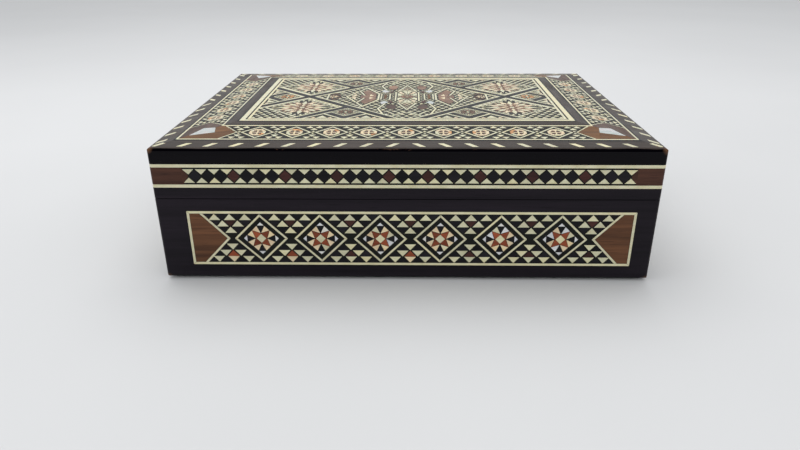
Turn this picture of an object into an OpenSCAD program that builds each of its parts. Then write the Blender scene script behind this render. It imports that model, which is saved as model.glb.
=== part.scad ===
// Inlaid wooden box with a hinged, bevelled lid.
// The frame's origin is the centre of the underside, +Z is up and the front faces -Y.

/* [Box] */
// Outer width, left to right
box_w = 201.5; // [170:0.5:260]
// Outer depth, front to back
box_d = 149; // [130:1:200]
// Height of the base, from the table to the seam
base_h = 36.1; // [34:0.1:50]
// Height of the lid's outer edge above the seam
lid_edge_h = 21.1; // [20.5:0.1:24]
// Open seam between the lid and the base
seam_gap = 0.3; // [0.2:0.05:0.5]
// Radius of the upright corners
corner_r = 1.4; // [1:0.1:4]
// Radius of the bottom edges
foot_r = 2; // [0.5:0.1:2]
// Radius of the lid's top edges
brow_r = 1.9; // [0.4:0.1:2]

/* [Carcass] */
// Thickness of the wooden walls
wall_t = 8; // [7.5:0.1:10]
// Thickness of the floor board
floor_t = 5; // [4:0.1:6]
// Width of the step in the walls that the floor board sits in
rabbet_w = 4; // [3:0.1:5]
// Thickness of the felt under the box
felt_t = 0.5; // [0.4:0.1:1]
// How far the felt stops short of the edges
felt_inset = 2.2; // [1:0.1:4]
// Thickness of the velvet pads inside
lining_t = 1.2; // [0.8:0.1:2]

/* [Bevelled lid] */
// How far the middle of the lid stands above its edge
lid_rise = 3.1; // [2:0.1:5]
// Thickness of the marquetry sheet on the lid
veneer_t = 1.2; // [0.8:0.1:1.4]
// Thickness of the lid's board and its sheet, at the edge
top_edge_t = 6.5; // [5.4:0.1:7]
// Width of the dark border with slanting dashes
rope_w = 8.9; // [6:0.1:10]
// Width of the single bone lines
line_w = 0.8; // [0.6:0.1:1]
// Width of the star bands round the lid
band_w = 13.8; // [13:0.1:16]
// Width of the dark frame round the middle
dark_frame_w = 5.2; // [3:0.1:6]
// Widths of the bone frame: outer strip, dark gap, inner strip
bone_frame = [2.2, 0.5, 1.2];

/* [Side panels of the base] */
// Depth of the inlays in the walls
inlay_t = 1.5; // [1:0.1:2]
// Lowest edge of the panels
panel_z = 6.8; // [5:0.1:8]
// Height of the panels
panel_h = 24.1; // [22:0.1:25]
// Plain margin left and right of a panel, together
panel_margins = 20.6; // [18:0.1:22]
// How far the front panel stands off the middle
front_shift = 1.85; // [0:0.05:2]
// How far the front rail's band stands off the middle
band_shift = 1.1; // [0:0.05:2]
// Width of the bone lines
panel_line = 1.1; // [1:0.05:1.5]
// Greatest distance between two star blocks
star_pitch = 24.4; // [23:0.1:26]
// Width of a star block, from tip to tip
star_w = 22; // [20:0.1:22.5]
// Least gap between two star blocks
star_gap = 1; // [0.5:0.1:2]
// Straight part of the wooden end blocks
end_shoulder = 4; // [3:0.1:5]
// Length of the point of the wooden end blocks
end_point = 10.4; // [9:0.1:11]

/* [Bands round the lid] */
// Width of the bone lines above and below the band
rail_line = 1.3; // [1:0.1:1.5]
// Height of the band between its bone lines
rail_band_h = 7.1; // [6:0.1:7.5]
// Length of the wooden ends, at the band's edges
rail_end = 11.6; // [10:0.1:14]
// Length of the points of the wooden ends
rail_point = 2.5; // [2:0.1:3]

/* [Hinges] */
// Distance of each hinge from the middle
hinge_x = 55; // [40:1:65]
// Length of a hinge
hinge_l = 24; // [20:0.5:30]
// How far the pin's axis lies inside the back face
hinge_inset = 3; // [2.8:0.1:3.2]
// Outer radius of a knuckle
knuckle_r = 2; // [1.8:0.1:2.1]
// Radius of the hinge pin
pin_r = 0.8; // [0.6:0.05:1]
// Thickness of a leaf
leaf_t = 0.9; // [0.7:0.1:1]
// Reach of a leaf from the pin's axis
leaf_d = 4.6; // [4.4:0.1:4.8]
// Half of the lid's opening angle, which the bevelled back edges set
stop_half = 50; // [46:1:52]

/* [Hidden] */
FACES = ["front", "right", "back", "left"];
PANEL_PARTS = ["_panel_stringing", "_panel_ends", "_panel_field", "_panel_stars"];
RAIL_PARTS = ["_rail_lines", "_rail_ends", "_rail_mosaic"];

$fn = 48;
lid_z = base_h + seam_gap;                       // underside of the lid
edge_z = base_h + lid_edge_h;                    // top of the lid's outer edge
rail_top = edge_z - top_edge_t;                  // where the lid's board lies on its rails
frame_in = rope_w + 2 * line_w + band_w;         // inset of the dark frame
bone_in = frame_in + dark_frame_w;               // inset of the bone frame, where the slope meets the flat
gap_in = bone_in + bone_frame[0];
strip_in = gap_in + bone_frame[1];
centre_in = strip_in + bone_frame[2];            // inset of the middle panel
band_in = rope_w + line_w;                       // inset of the star bands
brow_z = edge_z + lid_rise * brow_r / bone_in;   // top of the slope where the rounded edge ends
rail_band_z = rail_top - rail_line - rail_band_h;
panel_mid = panel_z + panel_h / 2;
slot_h = panel_h - 2 * panel_line;               // clear height between the bone lines
tip_gap = 0.15;                                  // keeps separate inlays apart at their tips
axis_y = box_d / 2 - hinge_inset;
axis_z = base_h + seam_gap / 2;
clear = 0.05;                                    // running clearance of pins and screws
knuckle_room = 0.3;
end_gap = 0.2;
mid_knuckle = 7.8;                               // length of the lid leaf's knuckle
pin_head = [1.2, 0.5];                           // radius and thickness
screw_at = [7.5, 3.2];                           // from the hinge's middle, and in from the axis
screw_r = 0.6;
screw_l = 5;
screw_head = [1.25, 0.65];                       // radius and depth of the countersink
far = 400;

EBONY = [0.10, 0.08, 0.09];
WALNUT = [0.36, 0.18, 0.11];
BONE = [0.85, 0.82, 0.66];
MOSAIC = [0.42, 0.38, 0.28];
PEARL = [0.80, 0.82, 0.80];
VELVET = [0.42, 0.03, 0.05];
BRASS = [0.80, 0.62, 0.28];

function face_len(i) = i % 2 == 0 ? box_w : box_d;
function face_dist(i) = i % 2 == 0 ? box_d / 2 : box_w / 2;
function panel_len(i) = face_len(i) - panel_margins;
function panel_shift(i) = i == 0 ? front_shift : 0;
function star_room(i) = panel_len(i) - 2 * (panel_line + end_shoulder + end_point);
function star_count(i) = floor((star_room(i) - 2 * panel_line) / (star_w + star_gap));
function pitch(i) = min(star_pitch, (star_room(i) - 2 * panel_line) / star_count(i));

// Outline of the box with its upright corners rounded
module outline(inset = 0) {
    w = box_w - 2 * inset;
    d = box_d - 2 * inset;
    square([w - 2 * corner_r, d], center = true);
    square([w, d - 2 * corner_r], center = true);
    for (s = [-1, 1], t = [-1, 1])
        translate([s * (w / 2 - corner_r), t * (d / 2 - corner_r)]) circle(corner_r);
}

// Local frame of a face: x to the viewer's right, y up, z outwards
module on_face(i) rotate([0, 0, 90 * i]) translate([0, -face_dist(i), 0]) rotate([90, 0, 0]) children();

// The quarter of the box that belongs to a face, cut at the mitres
module mitred(i, z0, z1, reach) {
    l = face_len(i) / 2;
    rotate([0, 0, 90 * i]) translate([0, -face_dist(i), z0]) linear_extrude(z1 - z0)
        polygon([[-l, 0], [l, 0], [l - reach, reach], [-l + reach, reach]]);
}

// Long prisms with a profile of (y, z) points along X, or of (x, z) points along Y
module along_x(points) rotate([90, 0, 90]) linear_extrude(far, center = true) polygon(points);
module along_y(points) rotate([90, 0, 0]) linear_extrude(far, center = true) polygon(points);
module block(x0, x1, y0, y1, z0, z1) translate([x0, y0, z0]) cube([x1 - x0, y1 - y0, z1 - z0]);
module inset_box(inset, z0, z1)
    block(-box_w / 2 + inset, box_w / 2 - inset, -box_d / 2 + inset, box_d / 2 - inset, z0, z1);

// What is cut away to round one long edge of a face; side is 1 for a bottom edge, -1 for a top one
module edge_cut(i, z, r, side) on_face(i) translate([0, z + side * r, -r]) rotate([0, 90, 0])
    linear_extrude(far, center = true) difference() {
        translate([-2 * r, side > 0 ? -2 * r : 0]) square(2 * r);
        circle(r);
    }

// Wedges cut from the back edges, which meet when the lid is open
module stop_cut_base() along_x([[axis_y, base_h], [axis_y, base_h + 1], [box_d, base_h + 1],
    [box_d, base_h - (box_d - axis_y) * tan(stop_half)]]);
module stop_cut_lid() along_x([[axis_y, lid_z], [axis_y, lid_z - 1], [box_d, lid_z - 1],
    [box_d, lid_z + (box_d - axis_y) * tan(stop_half)]]);

module at_hinges() for (s = [-1, 1]) translate([s * hinge_x, 0, 0]) children();
module on_axis(length, radius) translate([-length / 2, axis_y, axis_z]) rotate([0, 90, 0])
    cylinder(r = radius, h = length);
module at_screws() for (s = [-1, 1]) translate([s * screw_at[0], axis_y - screw_at[1], 0]) children();

module knuckle_pocket() on_axis(hinge_l + 2 * (pin_head[1] + end_gap), knuckle_r + knuckle_room);
module leaf_pocket(z0, z1) block(-hinge_l / 2, hinge_l / 2, axis_y - leaf_d, axis_y, z0, z1);

// Countersunk screw with its head's face at z = 0 and its shank going down
module screw(grow = 0) {
    translate([0, 0, -screw_head[1]])
        cylinder(r1 = screw_r + grow, r2 = screw_head[0] + grow, h = screw_head[1]);
    translate([0, 0, -screw_l - grow]) cylinder(r = screw_r + grow, h = screw_l + grow - screw_head[1] / 2);
}
module base_screws(grow = 0) at_hinges() at_screws() translate([0, 0, base_h - clear]) screw(grow);
module lid_screws(grow = 0) at_hinges() at_screws()
    translate([0, 0, lid_z + clear]) mirror([0, 0, 1]) screw(grow);

/* ---- carcass ---- */

module wall(i) color(EBONY) difference() {
    intersection() {
        translate([0, 0, felt_t]) linear_extrude(base_h - felt_t) outline();
        mitred(i, felt_t, base_h, wall_t);
    }
    inset_box(wall_t - rabbet_w, felt_t - 1, felt_t + floor_t);
    for (k = [0:3]) edge_cut(k, felt_t, foot_r, 1);
    stop_cut_base();
    on_face(i) translate([0, 0, -inlay_t]) linear_extrude(inlay_t + 1) panel_rect(i, 0);
    if (i == 2) {
        at_hinges() leaf_pocket(base_h - leaf_t, base_h + 1);
        at_hinges() knuckle_pocket();
        base_screws(clear);
    }
}

module floor_board() color(WALNUT) inset_box(wall_t - rabbet_w, felt_t, felt_t + floor_t);

module underside_felt() color([0.09, 0.12, 0.09]) linear_extrude(felt_t) outline(felt_inset);

module rail(i) color(EBONY) difference() {
    intersection() {
        translate([0, 0, lid_z]) linear_extrude(rail_top - lid_z) outline();
        mitred(i, lid_z, rail_top, wall_t);
    }
    difference() {
        inset_box(-1, rail_band_z - rail_line, rail_top + 1);
        inset_box(inlay_t, rail_band_z - rail_line - 1, rail_top + 2);
    }
    stop_cut_lid();
    if (i == 2) {
        at_hinges() leaf_pocket(lid_z - 1, lid_z + leaf_t);
        at_hinges() knuckle_pocket();
        lid_screws(clear);
    }
}

/* ---- bevelled top ---- */

// Everything under the lid's top surface when that is lowered by drop
module hipped(drop) {
    flat = edge_z + lid_rise - drop;
    function slope(half) = [[-half, rail_top], [half, rail_top], [half, edge_z - drop],
        [half - bone_in, flat], [-half + bone_in, flat], [-half, edge_z - drop]];
    intersection() {
        along_x(slope(box_d / 2));
        along_y(slope(box_w / 2));
        translate([0, 0, rail_top - 1]) linear_extrude(far) outline();
    }
}

// A piece of the lid's marquetry sheet, cut to the outline that is its child
module sheet(thickness = veneer_t) intersection() {
    difference() {
        hipped(0);
        hipped(thickness);
    }
    translate([0, 0, rail_top - 1]) linear_extrude(far) children();
}

module rect(inset) square([box_w - 2 * inset, box_d - 2 * inset], center = true);
module ring(from, to) difference() {
    rect(from);
    rect(to);
}
module at_corners() for (s = [-1, 1], t = [-1, 1]) translate([s * box_w / 2, t * box_d / 2])
    mirror([s > 0 ? 1 : 0, 0]) mirror([0, t > 0 ? 1 : 0]) children();

// Corner block between the star bands, with a point along each of them
shoulder = 2;       // straight part along a band
tip = 6;            // length of the point
far_side = band_in + band_w;
mid_band = band_in + band_w / 2;
module corner_outline() polygon([[band_in, band_in], [far_side + shoulder, band_in],
    [far_side + shoulder + tip, mid_band], [far_side + shoulder, far_side], [far_side, far_side],
    [far_side, far_side + shoulder], [mid_band, far_side + shoulder + tip], [band_in, far_side + shoulder]]);

leaf_tip = 12.4;    // inset of the leaf's sharp end
leaf_side = [22.2, 16.3];
leaf_end = 20.8;
module leaf_outline()
    polygon([[leaf_tip, leaf_tip], leaf_side, [leaf_end, leaf_end], [leaf_side[1], leaf_side[0]]]);
leaf_depth = 0.8;

module top_board() color(EBONY) difference() {
    hipped(veneer_t);
    for (k = [0:3]) edge_cut(k, brow_z, brow_r, -1);
}
module top_rope_border() color(EBONY) difference() {
    sheet() ring(-1, rope_w);
    for (k = [0:3]) edge_cut(k, brow_z, brow_r, -1);
}
module top_bone_lines() color(BONE) {
    sheet() ring(rope_w, band_in);
    sheet() ring(far_side, frame_in);
}
module top_corner_blocks() color(WALNUT) difference() {
    sheet() at_corners() corner_outline();
    sheet(leaf_depth) at_corners() leaf_outline();
}
module top_pearl_leaves() color(PEARL) sheet(leaf_depth) at_corners() leaf_outline();
module top_star_bands() color(MOSAIC) sheet() difference() {
    ring(band_in, far_side);
    at_corners() corner_outline();
}
module top_dark_frame() color(EBONY) {
    sheet() ring(frame_in, bone_in);
    sheet() ring(gap_in, strip_in);
}
module top_bone_frame() color(BONE) {
    sheet() ring(bone_in, gap_in);
    sheet() ring(strip_in, centre_in);
}
module top_centre_panel() color(MOSAIC) sheet() rect(centre_in);

/* ---- inlays in the base walls, drawn in the face's plane ---- */

module panel_rect(i, inset) translate([panel_shift(i) - panel_len(i) / 2 + inset, panel_z + inset])
    square([panel_len(i) - 2 * inset, panel_h - 2 * inset]);

// The end block's outline at the right-hand end, made larger by grow at its point
module end_outline(i, grow = 0) {
    x = panel_len(i) / 2 - panel_line;
    h = slot_h / 2;
    translate([0, panel_mid]) polygon([[x, -h], [x, h], [x - end_shoulder - grow, h],
        [x - end_shoulder - end_point - grow, 0], [x - end_shoulder - grow, -h]]);
}
module both_ends(i) translate([panel_shift(i), 0]) for (m = [0, 1]) mirror([m, 0]) children();

module star_outline(inset) {
    hw = star_w / 2 - inset * sqrt(2);
    hh = slot_h / 2 - tip_gap - inset * sqrt(2);
    polygon([[-hw, 0], [0, -hh], [hw, 0], [0, hh]]);
}
module at_stars(i) for (k = [0:star_count(i) - 1])
    translate([panel_shift(i) + (k - (star_count(i) - 1) / 2) * pitch(i), panel_mid]) children();

module inlay(i) on_face(i) translate([0, 0, -inlay_t]) linear_extrude(inlay_t) children();

module panel_stringing(i) color(BONE) inlay(i) {
    difference() {
        panel_rect(i, 0);
        panel_rect(i, panel_line);
    }
    both_ends(i) difference() {
        end_outline(i, panel_line * 1.2);
        end_outline(i);
    }
    at_stars(i) difference() {
        star_outline(0);
        star_outline(panel_line * 0.8);
    }
}

module panel_ends(i) color(WALNUT) inlay(i) both_ends(i) end_outline(i);

module panel_field(i) color(MOSAIC) inlay(i) difference() {
    panel_rect(i, panel_line);
    both_ends(i) end_outline(i, panel_line * 1.2);
    at_stars(i) star_outline(0);
}

module panel_stars(i) color(MOSAIC) inlay(i) at_stars(i) star_outline(panel_line * 0.8);

/* ---- inlays in the lid rails ---- */

module rail_strip(i, z0, z1) intersection() {
    difference() {
        translate([0, 0, z0]) linear_extrude(z1 - z0) outline();
        inset_box(inlay_t, z0 - 1, z1 + 1);
    }
    mitred(i, z0, z1, wall_t);
}
module rail_middle(i) {
    l = face_len(i) / 2 - rail_end;
    mid = rail_band_z + rail_band_h / 2;
    on_face(i) translate([i == 0 ? band_shift : 0, 0, -wall_t / 2]) linear_extrude(wall_t)
        polygon([[-l, rail_band_z], [l, rail_band_z], [l - rail_point, mid], [l, rail_band_z + rail_band_h],
            [-l, rail_band_z + rail_band_h], [-l + rail_point, mid]]);
}
module rail_lines(i) color(BONE) {
    rail_strip(i, rail_band_z - rail_line, rail_band_z);
    rail_strip(i, rail_top - rail_line, rail_top);
}
module rail_ends(i) color(WALNUT) difference() {
    rail_strip(i, rail_band_z, rail_band_z + rail_band_h);
    rail_middle(i);
}
module rail_mosaic(i) color(MOSAIC) intersection() {
    rail_strip(i, rail_band_z, rail_band_z + rail_band_h);
    rail_middle(i);
}

/* ---- velvet pads ---- */

pad_top = felt_t + floor_t + lining_t;
lid_pad_z = rail_top - lining_t;
pad_drop = 0.5;    // the wall pads stop this far short of the seam

module pad_ring(z0, z1) color(VELVET) for (i = [0:3]) intersection() {
    difference() {
        inset_box(wall_t, z0, z1);
        inset_box(wall_t + lining_t, z0 - 1, z1 + 1);
    }
    // a thin gap at the mitres keeps the four pads apart
    rotate([0, 0, 90 * i]) translate([0, -face_dist(i), z0]) linear_extrude(z1 - z0)
        for (m = [0, 1]) mirror([m, 0]) polygon([[0, wall_t], [face_len(i) / 2 - wall_t - clear, wall_t],
            [face_len(i) / 2 - 2 * wall_t - clear, 2 * wall_t], [0, 2 * wall_t]]);
}
module floor_lining() color(VELVET) inset_box(wall_t, felt_t + floor_t, pad_top);
module wall_linings() pad_ring(pad_top, base_h - pad_drop);
module lid_lining() color(VELVET) inset_box(wall_t, lid_pad_z, rail_top);
module lid_side_linings() pad_ring(lid_z + pad_drop, lid_pad_z);

/* ---- hinges ---- */

module knuckles(lid) {
    if (lid) on_axis(mid_knuckle, knuckle_r);
    else difference() {
        on_axis(hinge_l, knuckle_r);
        on_axis(mid_knuckle + 2 * end_gap, knuckle_r + 1);
    }
}
module hinge_leaf(x, lid) color(BRASS) translate([x, 0, 0]) {
    z0 = lid ? lid_z : base_h - leaf_t;
    sleeve = knuckle_r + knuckle_room;
    difference() {
        union() {
            difference() {
                leaf_pocket(z0, z0 + leaf_t);
                if (lid) for (s = [-1, 1])
                    translate([s * (mid_knuckle + hinge_l) / 2, 0, 0]) on_axis(hinge_l, sleeve);
                else on_axis(mid_knuckle + 2 * end_gap, sleeve);
            }
            knuckles(lid);
        }
        on_axis(hinge_l + 1, pin_r + clear);
        if (lid) translate([-x, 0, 0]) lid_screws(clear);
        else translate([-x, 0, 0]) base_screws(clear);
    }
}
module hinge_pin(x) color(BRASS) translate([x, 0, 0]) {
    on_axis(hinge_l + 2 * clear, pin_r);
    for (s = [-1, 1]) translate([s * (hinge_l + 2 * clear + pin_head[1]) / 2, 0, 0])
        on_axis(pin_head[1], pin_head[0]);
}
module base_hinge_screws() color(BRASS) base_screws();
module lid_hinge_screws() color(BRASS) lid_screws();

/* ---- nodes ---- */

for (i = [0:3]) {
    wall(i);
    rail(i);
    panel_stringing(i);
    panel_ends(i);
    panel_field(i);
    panel_stars(i);
    rail_lines(i);
    rail_ends(i);
    rail_mosaic(i);
}
floor_board();
underside_felt();
floor_lining();
wall_linings();
top_board();
top_rope_border();
top_bone_lines();
top_corner_blocks();
top_pearl_leaves();
top_star_bands();
top_dark_frame();
top_bone_frame();
top_centre_panel();
lid_lining();
lid_side_linings();
hinge_leaf(-hinge_x, false);  // left_hinge_base_leaf
hinge_leaf(hinge_x, false);  // right_hinge_base_leaf
hinge_leaf(-hinge_x, true);  // left_hinge_lid_leaf
hinge_leaf(hinge_x, true);  // right_hinge_lid_leaf
hinge_pin(-hinge_x);  // left_hinge_pin
hinge_pin(hinge_x);  // right_hinge_pin
base_hinge_screws();
lid_hinge_screws();
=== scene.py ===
"""Looks of the inlaid wooden box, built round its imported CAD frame."""

import math
import random

import bmesh
import bpy
from mathutils import Matrix, Vector


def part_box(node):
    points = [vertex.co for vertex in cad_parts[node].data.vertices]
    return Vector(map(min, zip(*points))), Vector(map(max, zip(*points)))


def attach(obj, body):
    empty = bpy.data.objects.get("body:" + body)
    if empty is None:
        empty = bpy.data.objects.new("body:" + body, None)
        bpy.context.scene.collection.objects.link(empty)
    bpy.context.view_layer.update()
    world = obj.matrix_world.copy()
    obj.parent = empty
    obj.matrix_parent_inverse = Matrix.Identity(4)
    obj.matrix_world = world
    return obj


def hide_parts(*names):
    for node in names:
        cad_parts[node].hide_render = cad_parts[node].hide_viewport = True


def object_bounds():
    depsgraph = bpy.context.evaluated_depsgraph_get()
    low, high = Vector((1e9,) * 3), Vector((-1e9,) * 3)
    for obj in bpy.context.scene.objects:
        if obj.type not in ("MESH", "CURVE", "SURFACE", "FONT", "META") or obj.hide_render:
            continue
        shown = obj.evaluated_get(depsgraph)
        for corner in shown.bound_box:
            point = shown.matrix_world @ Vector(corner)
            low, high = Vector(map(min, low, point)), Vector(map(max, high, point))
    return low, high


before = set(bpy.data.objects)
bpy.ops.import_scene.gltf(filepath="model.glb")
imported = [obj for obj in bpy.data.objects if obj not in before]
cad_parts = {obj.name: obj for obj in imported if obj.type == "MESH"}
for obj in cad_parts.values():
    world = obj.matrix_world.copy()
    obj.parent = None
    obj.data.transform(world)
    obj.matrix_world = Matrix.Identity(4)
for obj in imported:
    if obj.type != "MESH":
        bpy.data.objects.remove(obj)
cad_low, cad_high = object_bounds()

MM = 0.001
SEED = 7
dice = random.Random(SEED)
FACES = ("front", "right", "back", "left")


# ---- sizes read from the frame, in millimetres

def box_mm(node):
    """Lowest and highest corner of a CAD node, in millimetres."""
    low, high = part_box(node)
    return low / MM, high / MM


def inset_of(node):
    """How far a node on the lid's top stops short of the lid's edge, in millimetres."""
    return (cad_high.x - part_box(node)[1].x) / MM


HALF_W = cad_high.x / MM
HALF_D = cad_high.y / MM
TOP_Z = cad_high.z / MM
ROPE_IN = inset_of("top_bone_lines")  # inner edge of the border with dashes
BAND_IN = inset_of("top_star_bands")  # outer edge of the star bands
FRAME_IN = inset_of("top_dark_frame")
BONE_IN = inset_of("top_bone_frame")  # where the slope ends and the flat begins
CENTRE_IN = inset_of("top_centre_panel")
ROPE_Z = box_mm("top_rope_border")[1].z  # height of the slope at ROPE_IN
RISE = (TOP_Z - ROPE_Z) / (1 - ROPE_IN / BONE_IN)
EDGE_Z = TOP_Z - RISE
BONE_STRIP = 2.1  # outer strip of the bone frame
BONE_GAP = 0.7  # dark line between the frame's two strips
THIN_LINE = BAND_IN - ROPE_IN
BAND_OUT = FRAME_IN - THIN_LINE  # inner edge of the star bands
BLOCK_SHOULDER = 2.0  # straight part of a corner block along a band
BLOCK_TIP = 6.0  # length of a corner block's point


# ---- convex outlines, as lists of (x, y)

SHORT_EDGE = 0.03  # edges up to this length are dropped
OVERLAP = 1e-3  # least overlap of two outlines that counts, in square millimetres
SCRAP = 5e-3  # area of the largest scrap that is thrown away
LEAST_SHARE = 0.12  # an outline that keeps less of its area than this is too thin to shrink
SIGNS = (-1, 1)


def area(points):
    """Signed area of an outline: positive when it runs anticlockwise."""
    return sum(a[0] * b[1] - b[0] * a[1] for a, b in zip(points, points[1:] + points[:1])) / 2


def anticlockwise(points):
    """The outline, running anticlockwise."""
    points = [tuple(p) for p in points]
    return points if area(points) > 0 else points[::-1]


def clip(points, a, b):
    """The part of a convex outline to the left of the line from a to b."""
    kept = []
    side = [(b[0] - a[0]) * (p[1] - a[1]) - (b[1] - a[1]) * (p[0] - a[0]) for p in points]
    for k, p in enumerate(points):
        q, s, t = points[k - 1], side[k - 1], side[k]
        if s * t < 0:
            f = s / (s - t)
            kept.append((q[0] + (p[0] - q[0]) * f, q[1] + (p[1] - q[1]) * f))
        if t >= 0:
            kept.append(p)
    return kept


def edges(points):
    """Pairs of corners that follow each other."""
    return list(zip(points, points[1:] + points[:1]))


def tidy(points):
    """The outline without its very short edges."""
    kept = [p for k, p in enumerate(points) if math.dist(p, points[k - 1]) > SHORT_EDGE]
    return kept if len(kept) > 2 else []


def within(points, region):
    """The part of a convex outline inside a convex region."""
    for a, b in edges(region):
        points = clip(points, a, b)
    return points


def boxes_meet(points, others):
    """Whether the boxes round two outlines overlap."""
    return all(min(p[k] for p in points) < max(p[k] for p in others)
               and min(p[k] for p in others) < max(p[k] for p in points) for k in (0, 1))


def without(points, hole):
    """What is left of a convex outline outside a convex hole, as convex outlines."""
    if len(points) < 3 or abs(area(within(points, hole) or [(0, 0)])) < OVERLAP:
        return [points]
    rest = []
    for a, b in edges(hole):
        rest.append(clip(points, b, a))
        points = clip(points, a, b)
    return [tidy(p) for p in rest if len(p) > 2 and abs(area(p)) > SCRAP]


def shrunk(points, gap):
    """The convex outline with every edge moved in by gap, or nothing if it is too thin for that."""
    count = len(points)
    moved = []
    for k, p in enumerate(points):
        before = Vector(p) - Vector(points[k - 1])
        after = Vector(points[(k + 1) % count]) - Vector(p)
        before.normalize()
        after.normalize()
        inward = Vector((-before.y - after.y, before.x + after.x))
        if inward.length < 1e-6:
            return []
        reach = gap * 2 / inward.length_squared
        moved.append(tuple(Vector(p) + inward * reach))
    if area(moved) < LEAST_SHARE * area(points):
        return []
    return moved


def line(a, b, width):
    """A straight strip from a to b."""
    a, b = Vector(a), Vector(b)
    side = (b - a).orthogonal().normalized() * width / 2
    return anticlockwise([a + side, b + side, b - side, a - side])


def diamond(x, y, half_w, half_h=None):
    """Square or rhombus on its point."""
    half_h = half_w if half_h is None else half_h
    return [(x + half_w, y), (x, y + half_h), (x - half_w, y), (x, y - half_h)]


def rectangle(x0, y0, x1, y1):
    return [(x0, y0), (x1, y0), (x1, y1), (x0, y1)]


def polygon(sides, radius):
    """Regular outline round the origin, with two edges across the X axis."""
    angles = [math.tau * (k + 0.5) / sides for k in range(sides)]
    return [(radius * math.cos(a), radius * math.sin(a)) for a in angles]


def turned(points, degrees, x=0.0, y=0.0):
    """The outline turned about the origin and then moved by (x, y)."""
    c, s = math.cos(math.radians(degrees)), math.sin(math.radians(degrees))
    return [(x + p[0] * c - p[1] * s, y + p[0] * s + p[1] * c) for p in points]


def flipped(points, sign_x, sign_y=1):
    """The outline, mirrored for each sign that is -1."""
    return [(sign_x * x, sign_y * y) for x, y in points]


def mirrored(points):
    """The outline in all four quarters."""
    return [flipped(points, sign_x, sign_y) for sign_x in (1, -1) for sign_y in (1, -1)]


def mitred_frame(x0, y0, x1, y1, width):
    """The four mitred strips of a rectangular frame."""
    outer = rectangle(x0, y0, x1, y1)
    inner = rectangle(x0 + width, y0 + width, x1 - width, y1 - width)
    return [[outer[k], outer[(k + 1) % 4], inner[(k + 1) % 4], inner[k]] for k in range(4)]


def ring_strips(outer, inner):
    """The strips between two outlines with the same number of corners."""
    return [[a, b, d, c] for (a, b), (c, d) in zip(edges(outer), edges(inner))]


# ---- laying tesserae

TESSERA_DEPTH = 0.6
GROUND_DROP = 0.06  # how far the ground lies below the tesserae
WORN_EDGE = 0.05
SMALLEST = 0.05  # least area of a tessera
BOARD_REACH = 200  # how far apart the tesserae of one wood may come from


class Inlay:
    """A sheet of marquetry. What is laid later takes the place of what lies beneath it."""

    def __init__(self, region, joint=0.07):
        self.region = anticlockwise(region)
        self.joint = joint
        self.tesserae = []

    def clear(self, outline):
        """Takes away what lies under the outline."""
        outline = anticlockwise(outline)
        kept = []
        for points, look in self.tesserae:
            rests = without(points, outline) if boxes_meet(points, outline) else [points]
            kept += [(rest, look) for rest in rests if rest]
        self.tesserae = kept

    def lay(self, outline, look, joint=None):
        """Lays one tessera, with half a joint all round it."""
        outline = tidy(within(anticlockwise(outline), self.region))
        if len(outline) < 3 or abs(area(outline)) < SMALLEST:
            return
        self.clear(outline)
        inner = shrunk(outline, self.joint if joint is None else joint)
        if inner:
            self.tesserae.append((inner, look))

    def lay_all(self, outlines, look, joint=None):
        for outline in outlines:
            self.lay(outline, look, joint)


def add_tessera(mesh, board, outline, place, lift, shift):
    """One tessera with its upper edges worn down a little. Gives its faces."""
    top = shrunk(outline, WORN_EDGE) or outline
    rings = []
    for points, height in ((outline, lift - TESSERA_DEPTH), (outline, lift - WORN_EDGE), (top, lift)):
        ring = []
        for x, y in points:
            vert = mesh.verts.new(Vector(place(x, y, height)) * MM)
            vert[board] = (Vector((x, y, height)) + shift) * MM
            ring.append(vert)
        rings.append(ring)
    faces = [mesh.faces.new(rings[2]), mesh.faces.new(rings[0][::-1])]
    for lower, upper in zip(rings, rings[1:]):
        for k in range(len(lower)):
            faces.append(mesh.faces.new((lower[k - 1], lower[k], upper[k], upper[k - 1])))
    return faces


def add_object(name, data):
    """A new object in the scene."""
    made = bpy.data.objects.new(name, data)
    bpy.context.scene.collection.objects.link(made)
    return made


def link_mesh(name, mesh, materials):
    """A new object made of a bmesh."""
    data = bpy.data.meshes.new(name)
    mesh.to_mesh(data)
    mesh.free()
    for material in materials:
        data.materials.append(material)
    return add_object(name, data)


def make_piece(name, sheets, body, replaced=None, lift=0.03):
    """A piece made of tesserae. sheets is a list of (tesserae, place), where place(x, y, lift) turns a
    point of the sheet into one in the frame. The ground lies a little lower than the rest."""
    mesh = bmesh.new()
    board = mesh.verts.layers.float_vector.new("board")
    tone = mesh.faces.layers.float.new("tone")
    names = sorted({look for tesserae, place in sheets for outline, look in tesserae})
    for tesserae, place in sheets:
        for outline, look in tesserae:
            shade = dice.random()
            shift = Vector((dice.uniform(-BOARD_REACH, BOARD_REACH),
                            dice.uniform(-BOARD_REACH, BOARD_REACH), 0))
            height = lift - GROUND_DROP if look == "ground" else lift
            for face in add_tessera(mesh, board, outline, place, height, shift):
                face[tone] = shade
                face.material_index = names.index(look)
    piece = link_mesh(name, mesh, [LOOKS[look] for look in names])
    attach(piece, body)
    if replaced:
        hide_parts(replaced)


def side_turn(index):
    """Distance of a side's edge from the middle, and the turn from the front to that side."""
    return (HALF_D if index % 2 == 0 else HALF_W), Matrix.Rotation(math.radians(90 * index), 3, "Z")


def on_face(index):
    """Places a point of a side face's plane: x to the viewer's right, y up, lift outwards."""
    distance, turn = side_turn(index)
    return lambda x, y, lift: turn @ Vector((x, -distance - lift, y))


def on_slope(index):
    """Places a point of the lid's sloping border: x along a side, y inwards from its edge."""
    distance, turn = side_turn(index)
    return lambda x, y, lift: turn @ Vector((x, -distance + y, EDGE_Z + RISE * min(y / BONE_IN, 1) + lift))


def on_top(x, y, lift):
    """Places a point of the lid's flat middle."""
    return Vector((x, y, TOP_Z + lift))


# ---- materials

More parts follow.
